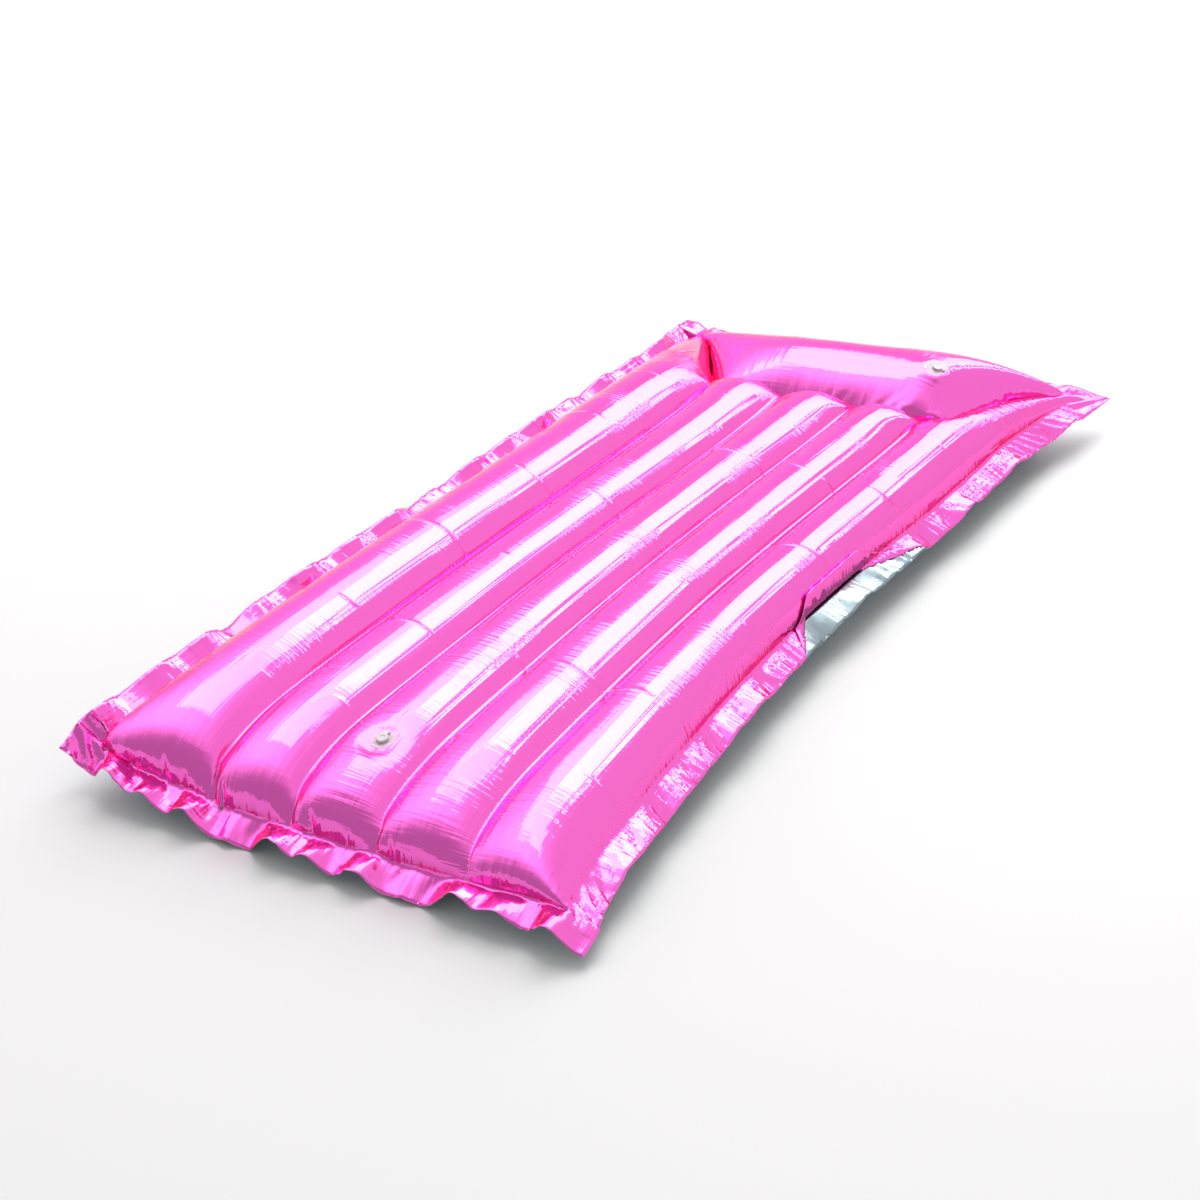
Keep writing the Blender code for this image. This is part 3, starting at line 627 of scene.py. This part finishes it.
def smooth_corner(layout, films):
    """The twisted foil at the right end of the head, drawn smooth from the last clean row and column
    to its tip; the weld there stays shut."""
    first_row = layout.back - layout.flange - CORNER_MARGIN
    first_column = layout.seams[4] - layout.flange // 2
    down = np.linspace(0, 1, layout.rows - first_row)[:, None, None]
    side = np.linspace(0, 1, layout.columns - first_column)[None, :, None]
    for film in films:
        block = film[first_row:, first_column:].copy()
        near, side_end, head_end, tip = block[0, 0], block[0, -1], block[-1, 0], block[-1, -1]
        ruled = mix(block[:1], mix(head_end, tip, side), down)
        ruled = ruled + mix(block[:, :1], mix(side_end, tip, down), side)
        corners = mix(mix(near, side_end, side), mix(head_end, tip, side), down)
        film[first_row:, first_column:] = ruled - corners
    weld = layout.welded()
    films[:, weld] = films.mean(axis=0)[weld]
    return uncrossed(films)


def pleat_heights(layout):
    """Heights of the small sharp pleats across the welded flange."""
    flat = layout.flat()
    side, end = layout.beyond()
    across, along = flat[..., 0], flat[..., 1]
    fan = SIDE_FAN * waves(along, SIDE_FAN_LENGTHS, SIDE_FAN_SEED) * side
    at_sides = PLEAT * side ** PLEAT_POWER * pleats(along + fan * FLANGE, *SIDE_PLEATS) * (1 - end)
    fan = END_FAN * FLANGE * end * waves(across, END_FAN_LENGTHS, END_FAN_SEED)
    return at_sides + PLEAT * end ** PLEAT_POWER * pleats(across + fan, *END_PLEATS)


def fold_back(layout, film, normal):
    """Lays the pink film of the right flange back up on its tube for a stretch, so that the silver shows."""
    last, count = layout.seams[5], layout.flange
    reach = np.arange(1, count + 1)[None, :] * FLANGE / count
    along = layout.flat()[:, :1, 1]
    kept = np.maximum((FOLD_START - along) * FOLD_SLOPES[0], (along - FOLD_END) * FOLD_SLOPES[1])
    kept = np.clip(kept, 0, FLANGE)
    over = np.maximum(reach - kept, 0)
    at = last + (np.where(over > 0, 2 * kept - reach, reach)) * count / FLANGE
    column = np.clip(np.floor(at).astype(int), 0, layout.columns - 2)
    part = (at - column)[..., None]
    row = np.arange(layout.rows)[:, None]
    place = mix(film[row, column], film[row, column + 1], part)
    ruffle = pleats(along + FOLD_FAN * reach, *FOLD_PLEATS) * FOLD_RUFFLE + FOLD_LIFT
    lift = over / FLANGE * ruffle + FOLD_ROLL * (1 - np.exp(-over / FOLD_ROLL_LENGTH))
    film[:, last + 1:] = place + normal[row, column] * lift[..., None]


def dressed_flange(layout, films):
    """The head's flange laid out, its right corner smoothed, pleats all round and the part folded back."""
    lean = flange_lean(layout)[3]
    weld_row = films[:, layout.back:layout.back + 1]
    films[:, layout.back + 1:] = mix(films[:, layout.back + 1:], weld_row + lean, HEAD_FLANGE_SHARE)
    films = smooth_corner(layout, films)
    normal = grid_normals(films[0])
    films = films + (normal * pleat_heights(layout)[..., None])[None]
    fold_back(layout, films[0], normal)
    return films


# Pieces
def new_object(name, points, faces, flat):
    """A smooth mesh object of four-sided faces, with its flat places as UV map."""
    mesh = bpy.data.meshes.new(name)
    mesh.vertices.add(len(points))
    mesh.vertices.foreach_set("co", np.asarray(points, np.float32).ravel())
    faces = np.asarray(faces, np.int32)
    mesh.loops.add(faces.size)
    mesh.loops.foreach_set("vertex_index", faces.ravel())
    mesh.polygons.add(len(faces))
    mesh.polygons.foreach_set("loop_start", np.arange(len(faces), dtype=np.int32) * faces.shape[1])
    mesh.polygons.foreach_set("use_smooth", np.ones(len(faces), bool))
    mesh.update(calc_edges=True)
    layer = mesh.uv_layers.new(name="flat")
    layer.data.foreach_set("uv", np.asarray(flat, np.float32)[faces.ravel()].ravel())
    obj = bpy.data.objects.new(name, mesh)
    bpy.context.scene.collection.objects.link(obj)
    return obj


def sheet_mesh(name, outer, inner, flat, keep=None):
    """A film with its own thickness: outer and inner are grids of points, outer's normals point out."""
    rows, columns, _ = outer.shape
    index = np.arange(rows * columns).reshape(rows, columns)
    quads = np.stack([index[:-1, :-1], index[:-1, 1:], index[1:, 1:], index[1:, :-1]], -1)
    used = np.ones(quads.shape[:2], bool) if keep is None else keep
    front = quads[used]
    back = front[:, ::-1] + rows * columns
    padded = np.pad(used, 1)
    rims = []
    for down, right, start, end in ((-1, 0, 0, 1), (0, 1, 1, 2), (1, 0, 2, 3), (0, -1, 3, 0)):
        beside = padded[1 + down:1 + down + used.shape[0], 1 + right:1 + right + used.shape[1]]
        edge = quads[used & ~beside]
        first, second = edge[:, start], edge[:, end]
        rims.append(np.stack([second, first, first + rows * columns, second + rows * columns], -1))
    faces = np.concatenate([front, back] + rims)
    points = np.concatenate([outer.reshape(-1, 3), inner.reshape(-1, 3)])
    coordinates = np.concatenate([flat.reshape(-1, 2)] * 2)
    seen, faces = np.unique(faces, return_inverse=True)
    return new_object(name, points[seen], faces.reshape(-1, 4), coordinates[seen])


def off_seats(points):
    """Which faces of the grid lie outside the holes under the valves."""
    centre = (points[:-1, :-1] + points[1:, 1:]) / 2
    keep = np.ones(centre.shape[:2], bool)
    for origin, _ in SEATS:
        keep &= np.sqrt(((centre - np.array(origin)) ** 2).sum(-1)) > SEAT_HOLE
    return keep


def film_pieces(top, bottom, flat):
    """The pink film and the silver film."""
    above, below = grid_normals(top), -grid_normals(bottom)
    film_top = sheet_mesh("pink_film_sheet", top + above * FILM_OUTSIDE, top + above * FILM_INSIDE,
                          flat, off_seats(top))
    film_bottom = sheet_mesh("silver_film_sheet", bottom + below * FILM_INSIDE, bottom + below * FILM_OUTSIDE,
                             flat)
    films = ((film_top, "top_film", "pink_film"), (film_bottom, "bottom_film", "silver_film"))
    for film, body_node, slot_name in films:
        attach(film, "mat")
        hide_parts(body_node)
    return film_top, film_bottom


def web_piece(number, high, low, length):
    """One inner strip, from the silver film's groove up to the pink film's."""
    levels = np.linspace(WEB_FROM, WEB_TO, WEB_LEVELS)
    grid = low[None] + (high - low)[None] * levels[:, None, None]
    coordinates = np.stack(np.broadcast_arrays(levels[:, None] * WEB_HEIGHT, length[None, :]), -1)
    sideways = np.array([FILM / 2, 0, 0])
    web = sheet_mesh(f"web_{number + 1}_strip", grid + sideways, grid - sideways, coordinates)
    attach(web, "mat")
    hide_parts(f"web_{number + 1}")
    return web


# Materials
def material(name, color, metallic, roughness, **sockets):
    made = bpy.data.materials.new(name)
    made.use_nodes = True
    shader = made.node_tree.nodes["Principled BSDF"]
    shader.inputs["Base Color"].default_value = (*color, 1)
    shader.inputs["Metallic"].default_value = metallic
    shader.inputs["Roughness"].default_value = roughness
    for key, value in sockets.items():
        shader.inputs[key.replace("_", " ")].default_value = value
    return made, made.node_tree, shader


def add(tree, kind, values=(), **settings):
    """A shader node with settings on it and values in its sockets; a value may be another node's socket."""
    node = tree.nodes.new(kind)
    for key, value in settings.items():
        setattr(node, key, value)
    for key, value in dict(values).items():
        if isinstance(value, bpy.types.NodeSocket):
            tree.links.new(value, node.inputs[key])
        else:
            node.inputs[key].default_value = value
    return node


def math_node(tree, operation, *values):
    return add(tree, "ShaderNodeMath", enumerate(values), operation=operation).outputs[0]


def ranged(tree, value, between, to=(0.0, 1.0)):
    """The value's range between two numbers, carried over to another range."""
    values = {0: value, 1: between[0], 2: between[1], 3: to[0], 4: to[1]}
    return add(tree, "ShaderNodeMapRange", values).outputs[0]


def bump(tree, height, strength, distance, below=None):
    """The normal with a bump on it, which lies on the bump below."""
    values = {"Height": height, "Strength": strength, "Distance": distance}
    if below:
        values["Normal"] = below
    return add(tree, "ShaderNodeBump", values).outputs[0]


def flat_place(tree):
    return add(tree, "ShaderNodeUVMap", uv_map="flat").outputs[0]


def stretched_noise(tree, cells, detail, shift):
    """Noise on the flat film, with that many cells a metre across and along it."""
    values = {"Vector": flat_place(tree), "Location": shift, "Scale": (*cells, 1)}
    place = add(tree, "ShaderNodeMapping", values).outputs[0]
    return add(tree, "ShaderNodeTexNoise", {"Vector": place, "Scale": 1.0, "Detail": detail}).outputs[0]


def bells(tree, value, centres, width):
    """A sum of bells, each with its centre and height, that fall off within about the width."""
    total = None
    for centre, height in centres:
        off = math_node(tree, "DIVIDE", math_node(tree, "SUBTRACT", value, centre), width)
        bell = math_node(tree, "DIVIDE", height, math_node(tree, "MULTIPLY_ADD", off, off, 1.0))
        total = bell if total is None else math_node(tree, "ADD", total, bell)
    return total


def pack_folds(tree, along):
    """The creases left across the tubes by the mat's folding for its box: thin ridges at a few places."""
    wobble = stretched_noise(tree, cells=(9, 3), detail=2, shift=(3.1, 0.4, 0))
    place = math_node(tree, "ADD", along, math_node(tree, "MULTIPLY", wobble, PACK_FOLD_WOBBLE))
    centres = [(at + PACK_FOLD_WOBBLE / 2, height) for at, height in PACK_FOLDS]
    broken = stretched_noise(tree, cells=(14, 5), detail=1, shift=(7.7, 2.2, 0))
    shown = ranged(tree, broken, between=(0.49, 0.58))
    return math_node(tree, "MULTIPLY", bells(tree, place, centres, PACK_FOLD_WIDTH), shown)


def film_relief(tree):
    """Bumps of the pink film: drawn streaks, hatched patches, puckers at the welds and the box's folds."""
    place = add(tree, "ShaderNodeSeparateXYZ", {0: flat_place(tree)})
    across, along = place.outputs[0], place.outputs[1]
    streaks = stretched_noise(tree, cells=(110, 1.6), detail=2, shift=(2, 0, 0))
    patches = stretched_noise(tree, cells=(9, 6), detail=1, shift=(5, 1, 0))
    patches = ranged(tree, patches, between=(0.52, 0.66), to=(0.10, 1.0))
    hatch = stretched_noise(tree, cells=(10, 170), detail=2, shift=(0, 0, 0))
    hatch = math_node(tree, "MULTIPLY", hatch, patches)
    end_welds = [(0.0, 1.0), (BODY_LENGTH, 1.0), (BODY_LENGTH + PILLOW_DEPTH, 1.0)]
    end_puckers = stretched_noise(tree, cells=(75, 7), detail=2, shift=(1, 5, 0))
    end_puckers = math_node(tree, "MULTIPLY", end_puckers, bells(tree, along, end_welds, END_PUCKER_WIDTH))
    side_welds = [(0.0, 1.0), (FLAT_WIDTH, 1.0)]
    side_puckers = stretched_noise(tree, cells=(8, 80), detail=2, shift=(6, 2, 0))
    side_puckers = math_node(tree, "MULTIPLY", side_puckers,
                             bells(tree, across, side_welds, SIDE_PUCKER_WIDTH))
    reliefs = ((streaks, STREAK_BUMP), (hatch, HATCH_BUMP), (end_puckers, END_PUCKER_BUMP),
               (side_puckers, SIDE_PUCKER_BUMP), (pack_folds(tree, along), PACK_FOLD_BUMP))
    normal = None
    for height, distance in reliefs:
        normal = bump(tree, height, strength=1.0, distance=distance, below=normal)
    return normal


def pink_film():
    """Mirror-bright metallised film under a clear coat, duller where it is worn."""
    made, tree, shader = material("pink_metallised_film", (1.0, 0.145, 0.66), metallic=0.85, roughness=0.09,
                                  Specular_Tint=(1.0, 0.02, 0.16, 1), Coat_Weight=0.7,
                                  Coat_Roughness=0.03, Coat_IOR=1.35)
    normal = film_relief(tree)
    tree.links.new(normal, shader.inputs["Normal"])
    tree.links.new(normal, shader.inputs["Coat Normal"])
    wear = stretched_noise(tree, cells=(14, 5), detail=3, shift=(9, 4, 0))
    tree.links.new(ranged(tree, wear, between=(0.35, 0.70), to=(0.05, 0.12)), shader.inputs["Roughness"])
    return made


def silver_film():
    """Dull silver film, finely wrinkled and scuffed."""
    made, tree, shader = material("silver_film", (0.30, 0.37, 0.41), metallic=0.9, roughness=0.30)
    wrinkle = stretched_noise(tree, cells=(22, 22), detail=4, shift=(1, 2, 0))
    scuffs = stretched_noise(tree, cells=(60, 9), detail=3, shift=(4, 1, 0))
    tree.links.new(ranged(tree, scuffs, between=(0.35, 0.70), to=(0.20, 0.42)), shader.inputs["Roughness"])
    tree.links.new(bump(tree, wrinkle, strength=0.8, distance=0.0016), shader.inputs["Normal"])
    return made


def web_film():
    """Milky, slightly uneven film."""
    made, tree, shader = material("milky_web_film", (0.85, 0.84, 0.86), metallic=0.0, roughness=0.35)
    haze = stretched_noise(tree, cells=(40, 12), detail=3, shift=(0, 3, 0))
    tree.links.new(ranged(tree, haze, between=(0.3, 0.7), to=(0.28, 0.50)), shader.inputs["Roughness"])
    tree.links.new(bump(tree, haze, strength=0.5, distance=0.0008), shader.inputs["Normal"])
    return made


def moulded(name, color, roughness, **sockets):
    """Moulded soft PVC: a slightly uneven skin, duller where it has been handled."""
    made, tree, shader = material(name, color, metallic=0.0, roughness=roughness, **sockets)
    place = add(tree, "ShaderNodeTexCoord").outputs["Object"]
    skin = add(tree, "ShaderNodeTexNoise", {"Vector": place, "Scale": 260.0, "Detail": 3.0}).outputs[0]
    handled = add(tree, "ShaderNodeTexNoise", {"Vector": place, "Scale": 70.0, "Detail": 2.0}).outputs[0]
    dulled = ranged(tree, handled, between=(0.35, 0.65), to=(roughness * 0.7, roughness * 1.6))
    tree.links.new(dulled, shader.inputs["Roughness"])
    tree.links.new(bump(tree, skin, strength=0.35, distance=0.0004), shader.inputs["Normal"])
    return made


def cover(film_top, film_bottom, webs):
    """Gives the pieces and the valves' CAD nodes their materials."""
    film_top.data.materials.append(pink_film())
    film_bottom.data.materials.append(silver_film())
    web_material = web_film()
    for web in webs:
        web.data.materials.append(web_material)
    clear = moulded("clear_valve_pvc", (0.95, 0.82, 0.91), roughness=0.16, Transmission_Weight=0.35, IOR=1.45)
    white = moulded("white_valve_pvc", (0.93, 0.84, 0.91), roughness=0.26, Transmission_Weight=0.15)
    for name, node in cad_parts.items():
        if "valve" in name:
            node.data.materials.clear()
            node.data.materials.append(white if "plug" in name or "strap" in name else clear)


# Floor, light and camera
def pale_floor():
    mesh = bpy.data.meshes.new("floor")
    corners = [(x * FLOOR_HALF, y * FLOOR_HALF, 0) for x, y in ((-1, -1), (1, -1), (1, 1), (-1, 1))]
    mesh.from_pydata(corners, [], [(0, 1, 2, 3)])
    floor = bpy.data.objects.new("floor", mesh)
    floor.location.z = CAD_BOX[0].z
    bpy.context.scene.collection.objects.link(floor)
    made, _, _ = material("pale_floor", (0.90, 0.90, 0.90), metallic=0.0, roughness=0.6)
    mesh.materials.append(made)


def studio_world():
    """White to the camera, plain to matt surfaces, and a glow and a darker wall in mirrors."""
    world = bpy.data.worlds.new("studio")
    bpy.context.scene.world = world
    world.use_nodes = True
    tree = world.node_tree
    background = tree.nodes["Background"]
    background.inputs["Color"].default_value = (*WHITE, 1)
    sight = add(tree, "ShaderNodeTexCoord").outputs["Generated"]
    path = add(tree, "ShaderNodeLightPath")
    mirrored = math_node(tree, "MAXIMUM", path.outputs["Is Glossy Ray"], path.outputs["Is Transmission Ray"])
    toward = add(tree, "ShaderNodeVectorMath", {0: sight, 1: GLOW_AT}, operation="DOT_PRODUCT")
    toward = toward.outputs["Value"]
    near = ranged(tree, toward, between=(GLOW_FROM, 1.0))
    glow = math_node(tree, "MULTIPLY_ADD", math_node(tree, "POWER", near, GLOW_POWER), GLOW, SKY)
    behind = add(tree, "ShaderNodeSeparateXYZ", {0: sight}).outputs[1]
    wall = ranged(tree, behind, between=(WALL_FROM, WALL_TO))
    studio = math_node(tree, "MULTIPLY", glow, math_node(tree, "MULTIPLY_ADD", wall, WALL_SHADE, 1.0))
    plain = math_node(tree, "MULTIPLY_ADD", path.outputs["Is Camera Ray"], 1 - PLAIN, PLAIN)
    shown = add(tree, "ShaderNodeMix", {0: mirrored, 2: plain, 3: studio}).outputs[0]
    tree.links.new(shown, background.inputs["Strength"])


def soft_box(name, place, aim, size, power, color):
    light = bpy.data.lights.new(name, "AREA")
    light.shape = "RECTANGLE"
    light.size, light.size_y = size
    light.energy, light.color = power, color
    box = bpy.data.objects.new(name, light)
    box.location = place
    box.rotation_euler = (Vector(aim) - Vector(place)).to_track_quat("-Z", "Y").to_euler()
    bpy.context.scene.collection.objects.link(box)


def photo_camera():
    lens = bpy.data.cameras.new("photo_camera")
    lens.sensor_width = SENSOR
    lens.lens = LENS
    camera = bpy.data.objects.new("photo_camera", lens)
    right, down, forward = Vector(CAMERA_RIGHT), Vector(CAMERA_DOWN), Vector(CAMERA_FORWARD)
    camera.matrix_world = Matrix.Translation(CAMERA_AT) @ Matrix(
        [[right[i], -down[i], -forward[i]] for i in range(3)]).to_4x4()
    bpy.context.scene.collection.objects.link(camera)
    bpy.context.scene.camera = camera


# The mat, its materials and the studio
layout, films = blown_up()
flat = layout.flat()
top, bottom = dressed_flange(layout, uncrossed(films))
film_top, film_bottom = film_pieces(top, bottom, flat)
rows = slice(layout.foot + WEB_START, layout.front - WEB_END)
webs = []
for number, column in enumerate(layout.seams[1:5]):
    high, low, length = top[rows, column], bottom[rows, column], flat[rows, 0, 1]
    webs.append(web_piece(number, high, low, length))
cover(film_top, film_bottom, webs)
pale_floor()
studio_world()
for lamp in LAMPS:
    soft_box(*lamp)
photo_camera()
bpy.context.scene.view_settings.view_transform = "Standard"
